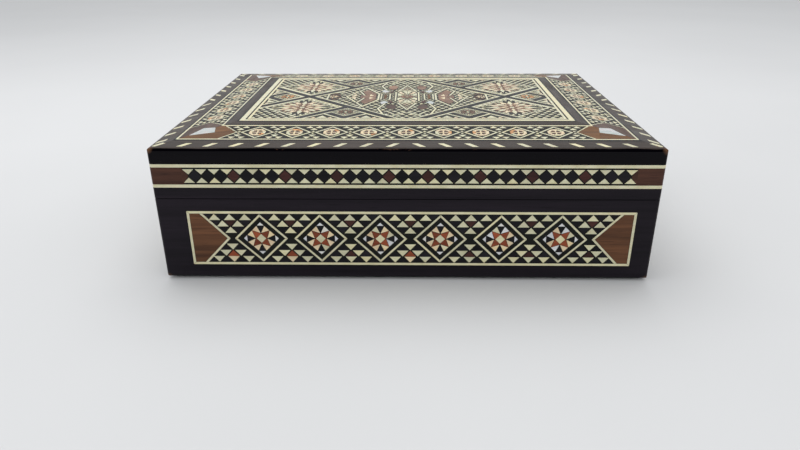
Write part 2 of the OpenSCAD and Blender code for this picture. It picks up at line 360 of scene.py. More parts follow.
class Shader:
    """A node material under construction."""

    def __init__(self, name, **values):
        self.material = bpy.data.materials.new(name)
        self.material.use_nodes = True
        self.tree = self.material.node_tree
        self.surface = self.tree.nodes["Principled BSDF"]
        for socket, value in values.items():
            title = socket.replace("_", " ").title().replace("Ior", "IOR")
            self.surface.inputs[title].default_value = value

    def node(self, kind, output=0, settings=(), **inputs):
        """Adds a node and gives its output. Input names are socket names; i0, i1 and so on are positions."""
        node = self.tree.nodes.new("ShaderNode" + kind)
        for key, value in dict(settings).items():
            setattr(node, key, value)
        for key, value in inputs.items():
            socket = node.inputs[int(key[1:]) if key[1:].isdigit() else key]
            if isinstance(value, bpy.types.NodeSocket):
                self.tree.links.new(value, socket)
            else:
                socket.default_value = value
        return node.outputs[output]

    def attribute(self, name, output="Vector"):
        return self.node("Attribute", output, {"attribute_name": name, "attribute_type": "GEOMETRY"})

    def place(self):
        return self.node("TexCoord", "Object")

    def noise(self, where, scale, detail=3.0, roughness=0.55, distortion=0.0):
        """Noise with a scale for each axis, in cycles per metre."""
        moved = self.node("Mapping", 0, Vector=where, Scale=scale)
        return self.node("TexNoise", "Fac", Vector=moved, Scale=1.0, Detail=detail, Roughness=roughness,
                         Distortion=distortion)

    def math(self, operation, a, b=0.0, c=0.0):
        return self.node("Math", 0, {"operation": operation}, i0=a, i1=b, i2=c)

    def rescale(self, value, low, high, to_low=0.0, to_high=1.0):
        """The value stretched from one range to another, and held inside it."""
        return self.node("MapRange", 0, {"clamp": True}, i0=value, i1=low, i2=high, i3=to_low, i4=to_high)

    def spread(self, where, scale, low, high, **settings):
        """Noise, with its values from low to high stretched to the range from 0 to 1."""
        return self.rescale(self.noise(where, scale, **settings), low, high)

    def mix(self, factor, a, b):
        colours = [c if isinstance(c, bpy.types.NodeSocket) else (*c, 1.0) for c in (a, b)]
        return self.node("MixRGB", 0, i0=factor, i1=colours[0], i2=colours[1])

    def multiply(self, colour, value):
        """The colour made darker or lighter by a number."""
        return self.node("VectorMath", 0, {"operation": "SCALE"}, Vector=colour, Scale=value)

    def bump(self, height, strength, distance):
        return self.node("Bump", 0, Strength=strength, Distance=distance, Height=height)

    def finish(self, colour, roughness=None, normal=None):
        """Links what has been made to the surface, and gives the material."""
        for socket, value in (("Base Color", colour), ("Roughness", roughness), ("Normal", normal)):
            if value is not None:
                self.tree.links.new(value, self.surface.inputs[socket])
        return self.material


def along(shader, axis):
    """Coordinates whose first axis follows the grain: a tessera's own, or the frame's X or Y."""
    if axis == "board":
        return shader.attribute("board")
    if axis == "X":
        return shader.place()
    return shader.node("Mapping", 0, Vector=shader.place(), Rotation=(0, 0, math.radians(90)))


EDGE_REACH = 1.5  # how far from an outer edge the wear reaches
CORNER_REACH = 3.2  # and from a corner
GRAIN = (22, 520, 520)  # streaks of a wood, in cycles per metre along and across its grain


def edge_wear(shader):
    """1 on scuffed patches along the box's outer edges and at its corners, and 0 away from them."""
    where = shader.place()
    parts = shader.node("SeparateXYZ", 0, Vector=where).node.outputs
    limits = ((parts[0], HALF_W, 0.0), (parts[1], HALF_D, 0.0), (parts[2], EDGE_Z / 2, EDGE_Z / 2))
    near, by_corner = [], []
    for value, half, middle in limits:
        away = shader.math("ABSOLUTE", shader.math("SUBTRACT", value, middle * MM))
        near.append(shader.rescale(away, (half - EDGE_REACH) * MM, half * MM))
        by_corner.append(shader.rescale(away, (half - CORNER_REACH) * MM, half * MM))
    pairs = [shader.math("MULTIPLY", near[k], near[k - 1]) for k in range(3)]
    edge = shader.math("MAXIMUM", shader.math("MAXIMUM", pairs[0], pairs[1]), pairs[2])
    corner = shader.math("MULTIPLY", shader.math("MULTIPLY", by_corner[0], by_corner[1]), by_corner[2])
    patches = shader.noise(where, (60, 60, 200), detail=6, roughness=0.75)
    specks = shader.noise(where, (900, 900, 1400), detail=3, roughness=0.6)
    rubbed = shader.rescale(shader.math("MULTIPLY_ADD", edge, 0.7, patches), 0.88, 1.02)
    broken = shader.math("MULTIPLY", rubbed, shader.rescale(specks, 0.42, 0.56))
    bare = shader.rescale(shader.math("MULTIPLY_ADD", patches, 0.5, corner), 0.36, 0.72)
    return shader.math("MAXIMUM", broken, bare)


def scaled(values, factor):
    return tuple(value * factor for value in values)


def wood(name, dark, light, axis, roughness=(0.34, 0.5), gloss=0.5, tone=0.3, worn=None, below=None):
    """Polished wood with streaks along its grain. Its colours run from dark to light. worn is the colour
    of scuffed edges, and below is a height in millimetres and the dull colour under it."""
    shader = Shader(name, coat_weight=0.2 * gloss, coat_roughness=0.28, ior=1.5, specular_ior_level=gloss)
    where = along(shader, axis)
    fine = shader.noise(where, GRAIN, detail=4, roughness=0.6, distortion=0.3)
    broad = shader.noise(where, scaled(GRAIN, 0.22), detail=2, distortion=0.6)
    pores = shader.spread(where, scaled(GRAIN, 4.5), 0.58, 0.72, detail=2)
    streaks = shader.math("MULTIPLY_ADD", broad, 0.6, shader.math("MULTIPLY", fine, 0.5))
    grain = shader.rescale(streaks, 0.36, 0.74)
    colour = shader.mix(grain, dark, light)
    colour = shader.mix(shader.math("MULTIPLY", pores, 0.55), colour, scaled(dark, 0.45))
    if axis == "board":
        shade = shader.attribute("tone", "Fac")
        colour = shader.multiply(colour, shader.rescale(shade, 0, 1, 1 - tone, 1 + tone))
    rough = shader.rescale(shader.noise(where, (60, 140, 140), detail=4), 0.3, 0.7, *roughness)
    if below is not None:
        level, other = below
        height = shader.node("SeparateXYZ", 2, Vector=shader.place())
        wavy = shader.math("MULTIPLY_ADD", shader.noise(where, (60, 60, 60), detail=4), 0.8 * MM, height)
        side = shader.rescale(wavy, (level + 0.35) * MM, (level + 0.5) * MM)
        colour = shader.mix(side, other, colour)
        for socket, value in (("Specular IOR Level", gloss), ("Coat Weight", 0.2 * gloss)):
            shader.tree.links.new(shader.math("MULTIPLY", side, value), shader.surface.inputs[socket])
    if worn is not None:
        mask = edge_wear(shader)
        colour = shader.mix(mask, colour, worn)
        rough = shader.mix(shader.math("MULTIPLY", mask, 0.6), rough, (0.6,) * 3)
    relief = shader.math("SUBTRACT", shader.math("MULTIPLY", fine, 0.5), pores)
    return shader.finish(colour, rough, shader.bump(relief, 0.25, 0.00012))


def bone(name, light, dark, axis):
    """Polished bone: pale, a little yellow, with faint growth lines and dark pits."""
    shader = Shader(name, coat_weight=0.15, coat_roughness=0.22, ior=1.54, subsurface_weight=0.05,
                    subsurface_scale=0.001)
    where = along(shader, axis)
    cloud = shader.noise(where, (160, 420, 420), detail=4, roughness=0.6)
    colour = shader.mix(shader.rescale(cloud, 0.32, 0.72), dark, light)
    pits = shader.spread(where, (900, 2600, 2600), 0.66, 0.78, detail=2)
    colour = shader.mix(shader.math("MULTIPLY", pits, 0.4), colour, (0.2, 0.15, 0.08))
    if axis == "board":
        shade = shader.attribute("tone", "Fac")
        colour = shader.mix(shader.rescale(shade, 0.6, 1, 0, 0.35), colour, (0.62, 0.52, 0.24))
        colour = shader.multiply(colour, shader.rescale(shade, 0, 1, 0.84, 1.08))
    rough = shader.rescale(cloud, 0.3, 0.7, 0.3, 0.46)
    return shader.finish(colour, rough, shader.bump(pits, 0.15, 0.00006))


def pearl(name):
    """Mother-of-pearl: pale, with soft bands that shift from green-grey to rose."""
    shader = Shader(name, coat_weight=0.5, coat_roughness=0.08, ior=1.56)
    where = along(shader, "board")
    waves = shader.noise(where, (120, 260, 260), detail=3, distortion=1.6)
    layers = shader.noise(where, (300, 900, 900), detail=2, distortion=0.8)
    colour = shader.mix(shader.rescale(waves, 0.36, 0.5), (0.29, 0.35, 0.33), (0.40, 0.43, 0.43))
    colour = shader.mix(shader.rescale(waves, 0.52, 0.66), colour, (0.45, 0.39, 0.40))
    colour = shader.mix(shader.rescale(layers, 0.45, 0.65, 0, 0.4), colour, (0.60, 0.64, 0.58))
    rough = shader.rescale(layers, 0.3, 0.7, 0.14, 0.3)
    return shader.finish(colour, rough, shader.bump(layers, 0.12, 0.0001))


def velvet(name, deep, bright):
    """Short-pile velvet whose nap lies in soft patches."""
    shader = Shader(name, sheen_weight=0.7, sheen_roughness=0.35, sheen_tint=(0.9, 0.35, 0.4, 1.0),
                    roughness=0.95, specular_ior_level=0.1)
    where = shader.place()
    nap = shader.noise(where, (55, 55, 55), detail=4, distortion=0.3)
    pile = shader.noise(where, (2600, 2600, 2600), detail=2)
    colour = shader.mix(shader.rescale(nap, 0.35, 0.68), deep, bright)
    colour = shader.multiply(colour, shader.rescale(pile, 0.3, 0.7, 0.65, 1.3))
    return shader.finish(colour, None, shader.bump(pile, 0.6, 0.0002))


def felt(name, colour):
    """Pressed wool with a fine, uneven surface."""
    shader = Shader(name, roughness=0.95, specular_ior_level=0.1)
    where = shader.place()
    fibres = shader.noise(where, (900, 900, 900), detail=4, roughness=0.7, distortion=1.0)
    shade = shader.mix(shader.rescale(fibres, 0.35, 0.65), scaled(colour, 0.6), colour)
    return shader.finish(shade, None, shader.bump(fibres, 0.5, 0.0003))


def brass(name):
    """Aged brass: bright where it is rubbed, browner in patches."""
    shader = Shader(name, metallic=1.0)
    where = shader.place()
    patches = shader.noise(where, (260, 260, 260), detail=5, roughness=0.65)
    lines = shader.noise(where, (120, 2400, 2400), detail=2)
    tarnish = shader.rescale(patches, 0.42, 0.66)
    colour = shader.mix(tarnish, (0.80, 0.58, 0.26), (0.33, 0.20, 0.09))
    rough = shader.rescale(shader.math("ADD", patches, lines), 0.7, 1.3, 0.24, 0.5)
    return shader.finish(colour, rough, shader.bump(lines, 0.1, 0.00005))


def studio_floor(name):
    """Pale, plain and dull, with the faintest mottling."""
    shader = Shader(name, roughness=0.85)
    mottling = shader.noise(shader.place(), (3, 3, 3), detail=3)
    colour = shader.mix(shader.rescale(mottling, 0.3, 0.7), (0.59, 0.593, 0.598), (0.62, 0.623, 0.628))
    return shader.finish(colour)


# Darkest and lightest colour of each wood.
EBONY = ((0.0038, 0.0027, 0.0050), (0.0125, 0.0088, 0.0140))
LACQUER = ((0.0012, 0.0009, 0.0018), (0.0032, 0.0024, 0.0040))
BROWN = ((0.015, 0.011, 0.009), (0.052, 0.036, 0.028))
ROSE = ((0.030, 0.0125, 0.0085), (0.092, 0.037, 0.023))
BARE_WOOD = (0.115, 0.060, 0.034)
BONE = ((0.68, 0.65, 0.46), (0.54, 0.50, 0.31))  # lightest and darkest

# Materials for CAD pieces that run along X and along Y.
ebony = [wood("ebony_along_" + axis.lower(), *EBONY, axis, gloss=0.12, worn=BARE_WOOD) for axis in "XY"]
rosewood = [wood("rosewood_along_" + axis.lower(), *ROSE, axis, gloss=0.15) for axis in "XY"]
plain_bone = [bone("bone_along_" + axis.lower(), *BONE, axis) for axis in "XY"]

# Woods of the tesserae: name, darkest and lightest colour, gloss, and how far they differ in tone.
TESSERA_WOODS = {
    "ground": ("ebony_ground", (0.0030, 0.0036, 0.0028), (0.0085, 0.0088, 0.0070), 0.12, 0.1),
    "black": ("black_tesserae", (0.0035, 0.0033, 0.0045), (0.0110, 0.0100, 0.0130), 0.12, 0.4),
    "brown": ("brown_strips", *BROWN, 0.14, 0.1),
    "red": ("red_tesserae", (0.14, 0.026, 0.010), (0.29, 0.068, 0.026), 0.2, 0.3),
    "maroon": ("maroon_tesserae", (0.028, 0.0095, 0.0085), (0.070, 0.023, 0.019), 0.15, 0.3),
    "orange": ("orange_tesserae", (0.40, 0.18, 0.07), (0.66, 0.36, 0.16), 0.2, 0.3),
    "rosewood": ("rosewood_blocks", (0.048, 0.020, 0.010), (0.165, 0.070, 0.032), 0.15, 0.12),
    "dark rosewood": ("rosewood_tips", *ROSE, 0.15, 0.0),
    "copper": ("red_brown_tesserae", (0.105, 0.054, 0.034), (0.25, 0.140, 0.088), 0.2, 0.3),
    "walnut": ("walnut_blocks", (0.060, 0.027, 0.011), (0.190, 0.090, 0.036), 0.1, 0.1),
    "plum": ("plum_blocks", (0.040, 0.023, 0.017), (0.110, 0.060, 0.043), 0.12, 0.1),
}
LOOKS = {look: wood(name, dark, light, "board", gloss=gloss, tone=tone)
         for look, (name, dark, light, gloss, tone) in TESSERA_WOODS.items()}
LOOKS["bone"] = bone("bone_tesserae", *BONE, "board")
LOOKS["cream"] = bone("cream_tesserae", (0.75, 0.63, 0.43), (0.66, 0.49, 0.29), "board")
LOOKS["white"] = bone("white_tesserae", (0.70, 0.70, 0.71), (0.56, 0.56, 0.57), "board")
LOOKS["pearl"] = pearl("mother_of_pearl")


# ---- CAD pieces that keep their shape

SHARP = math.radians(30)  # edges sharper than this stay crisp
SOFTENED = math.radians(50)  # and those sharper than this are bevelled


def smooth(piece):
    """Shades a piece smooth across its gentle edges."""
    piece.data.shade_smooth()
    piece.data.set_sharp_from_angle(angle=SHARP)


def dress(name, material, soften=0.0):
    """Gives a shown CAD node its material, and rounds its sharp edges by a width in millimetres."""
    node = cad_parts[name]
    node.data.materials.clear()
    node.data.materials.append(material)
    smooth(node)
    if soften:
        bevel = node.modifiers.new("soft_edges", "BEVEL")
        bevel.width = soften * MM
        bevel.segments = 3
        bevel.limit_method = "ANGLE"
        bevel.angle_limit = SOFTENED
        bevel.harden_normals = True


for index, side in enumerate(FACES):
    for part in ("_wall", "_rail"):
        dress(side + part, ebony[index % 2], 0.12)
    dress(side + "_rail_lines", plain_bone[index % 2])
    dress(side + "_rail_ends", rosewood[index % 2])
dress("top_board", wood("black_lacquer", *LACQUER, "X", (0.2, 0.34), gloss=0.08, worn=BARE_WOOD))
dress("top_rope_border", wood("brown_border", *BROWN, "X", gloss=0.17, worn=BARE_WOOD,
                              below=(EDGE_Z - 0.25, LACQUER[0])))
dress("floor_board", wood("floor_wood", (0.10, 0.05, 0.025), (0.24, 0.13, 0.07), "X"))
dress("underside_felt", felt("green_felt", (0.025, 0.05, 0.03)))
brass_look = brass("aged_brass")
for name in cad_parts:
    if "hinge" in name:
        dress(name, brass_look)
velvet_look = velvet("red_velvet", (0.11, 0.002, 0.009), (0.20, 0.004, 0.017))
for name in ("wall_linings", "lid_side_linings"):
    dress(name, velvet_look, 0.5)


# ---- velvet pads

PAD_RIM = 5.0  # width of a pad's rounded rim
PAD_GRID = (72, 54)
PAD_INSET = 0.05  # gap between a pad and the CAD pad's sides
PAD_FOOT = 0.25  # height of its rim, as a share of its thickness
PAD_CROWN = 0.68  # how much higher its middle is
PAD_RIPPLE = 0.06  # and how uneven


def pad_height(x, y, half_w, half_d):
    """Height of a pad's face as a share of its thickness: low at the rim, full and uneven inside."""
    from_edge = min(min(half_w - abs(x), half_d - abs(y)) / PAD_RIM, 1)
    rounded = math.sqrt(max(0.0, 1 - (1 - from_edge) ** 2))
    uneven = PAD_RIPPLE * math.sin(x / 13) * math.sin(y / 9 + 1) * rounded
    return PAD_FOOT + PAD_CROWN * rounded + uneven


def closer_at_ends(half, count):
    """Places from -half to half that lie closer together towards the ends."""
    return [half * math.sin(math.pi * (k / count - 0.5)) for k in range(count + 1)]


def crowned_pad(node, body, facing):
    """Velvet pad with a soft rim, in the place of a CAD pad. facing is 1 if its face looks up, -1 if down."""
    low, high = box_mm(node)
    half_w, half_d = (high.x - low.x) / 2 - PAD_INSET, (high.y - low.y) / 2 - PAD_INSET
    thickness = facing * (high.z - low.z)
    back = low.z if facing > 0 else high.z
    columns, rows = PAD_GRID
    mesh = bmesh.new()
    grid = []
    for y in closer_at_ends(half_d, rows):
        grid.append([mesh.verts.new(Vector((x, y, back + thickness * pad_height(x, y, half_w, half_d))) * MM)
                     for x in closer_at_ends(half_w, columns)])
    for lower, upper in zip(grid, grid[1:]):
        for k in range(columns):
            mesh.faces.new((lower[k], lower[k + 1], upper[k + 1], upper[k]))
    rim = grid[0] + [row[-1] for row in grid[1:]] + grid[-1][-2::-1] + [row[0] for row in grid[-2:0:-1]]
    foot = [mesh.verts.new((vert.co.x, vert.co.y, back * MM)) for vert in rim]
    for k in range(len(rim)):
        mesh.faces.new((foot[k - 1], foot[k], rim[k], rim[k - 1]))
    mesh.faces.new(foot[::-1])
    bmesh.ops.recalc_face_normals(mesh, faces=mesh.faces)
    pad = link_mesh(node + "_pad", mesh, [velvet_look])
    smooth(pad)
    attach(pad, body)
    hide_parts(node)


crowned_pad("floor_lining", "base", 1)
crowned_pad("lid_lining", "lid", -1)


# ---- patterns

FIELD_SHARE = 0.78  # size of a triangle in a field, as a share of its pitch and its row

# A quarter of a star tile, round its middle: its red arm, its black petal, the pale pieces beside the petal
# and the tip beyond it, each with the looks that it may have.
STAR_QUARTER = (
    (("red",), ((0, 2.0), (2.0, 0), (2.35, 0.15), (3.62, 3.62), (0.15, 2.35))),
    (("black",), ((0, 2.4), (1.45, 5.65), (-1.45, 5.65))),
    (("cream", "cream", "white"), ((0.05, 2.4), (3.58, 3.62), (1.6, 5.65))),
    (("cream", "bone"), ((-0.05, 2.4), (-1.6, 5.65), (-3.58, 3.62))),
    (("white",), ((-1.5, 5.75), (1.5, 5.75), (0, 7.25))),
)
STAR_CENTRE = 2.05


def wedge(x, half, foot, tip):
    """Triangle whose foot lies at one height and its point at another."""
    return [(x - half, foot), (x + half, foot), (x, tip)]


def star_tile(inlay, x, y):
    """Square tile on its point: a bone centre, four red arms, four black petals and pale pieces between."""
    for turn in range(4):
        for looks, outline in STAR_QUARTER:
            look = dice.choice(looks) if len(looks) > 1 else looks[0]
            inlay.lay(turned(outline, 90 * turn, x, y), look, 0.05)
    inlay.lay(diamond(x, y, STAR_CENTRE), "bone", 0.05)


def kites(inlay, x, y, count, near, far, half_width, look, start=0.0, belly=0.5):
    """A ring of kites that point away from (x, y). belly says where along itself a kite is widest."""
    wide = near + (far - near) * belly
    kite = [(near, 0), (wide, -half_width), (far, 0), (wide, half_width)]
    for k in range(count):
        inlay.lay(turned(kite, start + 360 * k / count, x, y), look, 0.05)


def triangle_rows(inlay, x, middle, rows, first, height, pitch, base, accent=None):
    """Rows of triangles above the middle for a height above 0, or below it. Each row has one more than the
    last. accent is the look of one of the dark ones, and a red one has a cream one next to it."""
    for row in range(rows):
        low = middle + math.copysign(first, height) + row * height
        high = low + height
        for k in range(row + 1):
            look = "cream" if accent == "red" and (row, k) == (2, 1) else "bone"
            inlay.lay(wedge(x + (k - row / 2) * pitch, base / 2, low, high), look)
        for k in range(row + 2):
            look = accent if accent and (row, k) == (1, 1) else "black"
            inlay.lay(wedge(x + (k - (row + 1) / 2) * pitch, base / 2, high, low), look)


def triangle_field(inlay, region, pitch, height, look="bone"):
    """Fills a convex region with rows of small triangles, each row half a step on from the last."""
    region = anticlockwise(region)
    xs, ys = [p[0] for p in region], [p[1] for p in region]
    for row in range(math.floor(min(ys) / height), math.ceil(max(ys) / height)):
        low = row * height
        for k in range(math.floor(min(xs) / pitch) - 1, math.ceil(max(xs) / pitch) + 1):
            cx = (k + row % 2 / 2) * pitch
            triangle = wedge(cx, pitch * FIELD_SHARE / 2, low, low + height * FIELD_SHARE)
            inlay.lay(within(triangle, region), look, 0.04)


def outlined(inlay, outline, width, margin=0.0):
    """A bone line round a convex shape, and bare ground inside it and for a margin outside it. Gives the
    outline of the inside."""
    outline = anticlockwise(outline)
    inner = shrunk(outline, width)
    inlay.clear(shrunk(outline, -margin))
    inlay.lay_all(ring_strips(outline, inner), "bone", 0.02)
    inlay.clear(inner)
    return inner


# ---- side panels of the base

STAR_BLOCK = 11.0  # half width of a block
STAR_COUNT = {"front": 6, "right": 4, "back": 6, "left": 4}
BLOCK_LINE = 0.8  # width of the line round a block, as a share of the panel's frame
CHEVRON = 1.2  # and of the line along an end block
END_SHOULDER = 4.0  # straight part of an end block
END_POINT = 10.4  # length of its point
PANEL_TRIANGLE = (6.2, 5.1)  # pitch and base
HOURGLASS = 2.4  # half height of the plain piece between two blocks
RED_GAPS = (0, 1, 3)  # gaps between blocks with a red triangle


def flat_box(index, node):
    """Left, bottom, right and top of a node in the plane of a side face, in millimetres."""
    turn_back = Matrix.Rotation(math.radians(-90 * index), 3, "Z")
    low, high = (turn_back @ corner for corner in box_mm(node))
    return min(low.x, high.x), low.z, max(low.x, high.x), high.z


def side_panel(index):
    """The inlaid panel in one wall of the base."""
    side = FACES[index]
    x0, z0, x1, z1 = flat_box(index, side + "_panel_stringing")
    fx0, fz0, fx1, fz1 = flat_box(index, side + "_panel_field")
    sx0, sz0, sx1, sz1 = flat_box(index, side + "_panel_stars")
    width = fz0 - z0
    middle_x, middle = (x0 + x1) / 2, (z0 + z1) / 2
    low, high = middle - (fz1 - fz0) / 2, middle + (fz1 - fz0) / 2
    block_line, chevron = width * BLOCK_LINE, width * CHEVRON
    star_margin = block_line * math.sqrt(2)
    count = STAR_COUNT[side]
    pitch = (sx1 - sx0 + 2 * star_margin - 2 * STAR_BLOCK) / (count - 1)
    centres = [middle_x + (k - (count - 1) / 2) * pitch for k in range(count)]

    strings = Inlay(rectangle(x0, z0, x1, z1), joint=0.04)
    strings.lay_all(mitred_frame(x0, z0, x1, z1, width), "bone")
    ends = Inlay(rectangle(x0 + width, fz0, x1 - width, fz1), joint=0.04)
    field = Inlay(rectangle(fx0, fz0, fx1, fz1))
    stars = Inlay(rectangle(sx0, fz0, sx1, fz1))

    row_h = ((fz1 - fz0) / 2 - HOURGLASS) / 3
    for k in range(count + 1):
        gap = centres[0] + (k - 0.5) * pitch
        accent = "red" if k in RED_GAPS else "maroon"
        triangle_rows(field, gap, middle, 3, HOURGLASS, row_h, *PANEL_TRIANGLE, "maroon")
        triangle_rows(field, gap, middle, 3, HOURGLASS, -row_h, *PANEL_TRIANGLE, accent)
    for sign in SIGNS:
        end = middle_x + sign * ((x1 - x0) / 2 - width)
        near = end - sign * END_SHOULDER
        tip = near - sign * END_POINT
        step = sign * chevron
        ends.lay([(end, low), (end, high), (near, high), (tip, middle), (near, low)], "rosewood")
        field.clear([(end, low), (end, high), (near - step, high), (tip - step, middle), (near - step, low)])
        for level in (low, high):
            strings.lay([(near, level), (near - step, level), (tip - step, middle), (tip, middle)], "bone")
    for centre in centres:
        block = anticlockwise(diamond(centre, middle, STAR_BLOCK, (sz1 - sz0) / 2 + star_margin))
        field.clear(block)
        strings.lay_all(ring_strips(block, shrunk(block, block_line)), "bone")
        star_tile(stars, centre, middle)

    ground = [(rectangle(x0, z0, x1, z1), "ground")]
    sheets = (
        ("_panel_stringing", "bone", strings.tesserae, 0.04),
        ("_panel_ends", "rosewood", ends.tesserae, 0.02),
        ("_panel_field", "triangle_mosaic", ground + field.tesserae, 0.03),
        ("_panel_stars", "star_mosaic", stars.tesserae, 0.03),
    )
    for suffix, slot, tesserae, lift in sheets:
        make_piece(side + suffix + "_inlay", [(tesserae, on_face(index))], "base", side + suffix, lift)


# ---- bands round the lid's rails

RAIL_PITCH = 5.1
RAIL_MARGIN = 0.65  # dark strip beside the triangles
RAIL_TRIANGLE = 2.35  # height of a triangle
RAIL_DIAMOND = 2.65  # half height of a diamond
RAIL_REDS = {"front": (3, 7, 11, 15, 18, 22, 26, 30)}


def rail_band(index):
    """The strip of diamonds between two rows of triangles."""
    side = FACES[index]
    node = side + "_rail_mosaic"
    x0, z0, x1, z1 = flat_box(index, node)
    middle = (z0 + z1) / 2
    count = round((x1 - x0) / RAIL_PITCH)
    pitch = (x1 - x0) / count
    band = Inlay(rectangle(x0, z0, x1, z1), joint=0.08)
    for k in range(count):
        for up in SIGNS:
            foot = middle + up * ((z1 - z0) / 2 - RAIL_MARGIN)
            band.lay(wedge(x0 + (k + 0.5) * pitch, pitch / 2 - 0.1, foot, foot - up * RAIL_TRIANGLE), "bone")
    reds = RAIL_REDS.get(side, range(3, count, 4))
    for k in range(count - 1):
        stone = diamond(x0 + (k + 1) * pitch, middle, pitch / 2, RAIL_DIAMOND)
        band.lay(stone, "maroon" if k in reds else "black")
    ends = Inlay(rectangle(x0 - 1, z0, x1 + 1, z1), joint=0.02)
    for sign, edge in ((1, x0), (-1, x1)):
        tip = [(edge, z0 + 0.3), (edge + sign * pitch / 2, middle), (edge, z1 - 0.3)]
        ends.lay(tip, "dark rosewood")
    sheet = [(rectangle(x0, z0, x1, z1), "ground")] + band.tesserae + ends.tesserae
    make_piece(node + "_inlay", [(sheet, on_face(index))], "lid", node)


# ---- sloping border of the lid

DASH_PITCH = 10.2
DASH = (1.8, 5.2)  # insets of a dash's ends
DASH_WIDTH = 2.5
DASH_LEAN = 3.3
CORNER_GAP = 4.0  # least room between the dash at a corner and the next
BLACK_LINE = 0.85  # black strips beside the bone lines and the dark frame's edges
ROSETTE_PITCH = 15.04
ROSETTE = 3.65  # half diagonal of a rosette
ROSETTE_LOOKS = ("cream", "cream", "bone", "cream", "cream", "cream", "orange")
BAND_FIRST = 2.5  # half height of the plain piece between two diamonds of a band
LEAF = ((12.9, 12.9), (22.6, 16.4), (21.6, 21.6))  # half outline of a pearl leaf, as insets from two edges


def frame_on_top(inset, width):
    """The four strips of a frame on the lid's flat middle."""
    half_w, half_d = HALF_W - inset, HALF_D - inset
    return mitred_frame(-half_w, -half_d, half_w, half_d, width)


def half_length(index):
    """Half the length of a side of the lid."""
    return HALF_W if index % 2 == 0 else HALF_D


def slope_strip(index, outer, inner):
    """A strip along one side of the lid between two insets, mitred at its ends."""
    half = half_length(index)
    return [(-half + outer, outer), (half - outer, outer), (half - inner, inner), (-half + inner, inner)]


def rope_dashes(index):
    """Slanting dashes that lean towards the middle of the side, with one along each mitre."""
    border = Inlay(slope_strip(index, *DASH), joint=0.05)
    at_mitre = half_length(index) - (DASH[0] + DASH[1]) / 2
    count = int((at_mitre - CORNER_GAP) / DASH_PITCH + 0.5)
    for place in [(k + 0.5) * DASH_PITCH for k in range(count)] + [at_mitre]:
        for sign in SIGNS:
            x = sign * place
            lean = -sign * DASH_LEAN / 2
            border.lay([(x - lean - DASH_WIDTH / 2, DASH[0]), (x - lean + DASH_WIDTH / 2, DASH[0]),
                        (x + lean + DASH_WIDTH / 2, DASH[1]), (x + lean - DASH_WIDTH / 2, DASH[1])], "bone")
    return border.tesserae


def rosette(inlay, x, y):
    """Small octagonal star of cream pieces with four dark spots round its middle."""
    octagon = polygon(8, ROSETTE)
    for a, b in edges(octagon):
        outline = [a, b, scaled(b, 0.6), scaled(a, 0.6)]
        inlay.lay(turned(outline, 0, x, y), dice.choice(ROSETTE_LOOKS), 0.06)
    inlay.lay(turned([scaled(p, 0.58) for p in octagon], 0, x, y), "cream", 0.03)
    for k in range(4):
        spot = diamond(0.4 * ROSETTE, 0, 0.28 * ROSETTE)
        inlay.lay(turned(spot, 45 + 90 * k, x, y), "maroon", 0.02)


def star_band(index):
    """The band of diamonds with rosettes on one side of the lid."""
    reach = half_length(index) - BAND_OUT - BLOCK_SHOULDER
    tip = reach - BLOCK_TIP - 1
    count = round(2 * tip / ROSETTE_PITCH)
    pitch = 2 * tip / count
    middle = (BAND_IN + BAND_OUT) / 2
    half_h = (BAND_OUT - BAND_IN) / 2 - 0.2
    band = Inlay(rectangle(-reach, BAND_IN, reach, BAND_OUT), joint=0.06)
    row_h = (half_h - BAND_FIRST) / 2
    for k in range(count + 1):
        gap = (k - count / 2) * pitch
        for up in SIGNS:
            triangle_rows(band, gap, middle, 2, BAND_FIRST, up * row_h, pitch / 3.9, pitch / 4.4)
            band.lay(wedge(gap, 0.9, middle + up * 0.5, middle + up * 1.8), "bone")
    for sign in SIGNS:
        near_edge = sign * reach
        point = (sign * (reach - BLOCK_TIP), middle)
        band.clear([(near_edge, BAND_IN), (near_edge, BAND_OUT), point])
        for edge in (BAND_IN, BAND_OUT):
            band.lay(line((near_edge, edge), point, 0.8), "bone", 0.02)
    for k in range(count):
        x = (k - (count - 1) / 2) * pitch
        band.clear(diamond(x, middle, pitch / 2 + 0.1, half_h + 0.1))
        outline = anticlockwise(diamond(x, middle, pitch / 2 - 0.6, half_h - 0.5))
        band.lay_all(ring_strips(outline, shrunk(outline, 0.7)), "bone", 0.01)
        rosette(band, x, middle)
    return [(rectangle(-reach, BAND_IN, reach, BAND_OUT), "ground")] + band.tesserae


def corner_halves(index):
    """The halves of two corner blocks that lie on one side of the lid, and the halves of their leaves."""
    half = half_length(index)
    middle = (BAND_IN + BAND_OUT) / 2
    shoulder = BAND_OUT + BLOCK_SHOULDER
    block = [(BAND_IN, BAND_IN), (shoulder, BAND_IN), (shoulder + BLOCK_TIP, middle), (shoulder, BAND_OUT),
             (BAND_OUT, BAND_OUT)]
    blocks, leaves = [], []
    for sign in SIGNS:
        place = [(sign * (half - x), y) for x, y in block]
        leaf = [(sign * (half - x), y) for x, y in LEAF]
        sheet = Inlay(place, joint=0.03)
        sheet.lay(place, "plum" if index % 2 else "walnut")
        sheet.clear(leaf)
        blocks += sheet.tesserae
        leaves.append((shrunk(anticlockwise(leaf), 0.03), "pearl"))
    return blocks, leaves


def slope_sheets(sides):
    """Sheets on the lid's slope, from the tesserae of each of its four sides."""
    return [(tesserae, on_slope(index)) for index, tesserae in enumerate(sides)]


def slope_lines(*lines):
    """Sheets of plain strips all round the lid's slope, each given as (outer inset, inner inset, look)."""
    return slope_sheets([[(slope_strip(index, a, b), look) for a, b, look in lines] for index in range(4)])


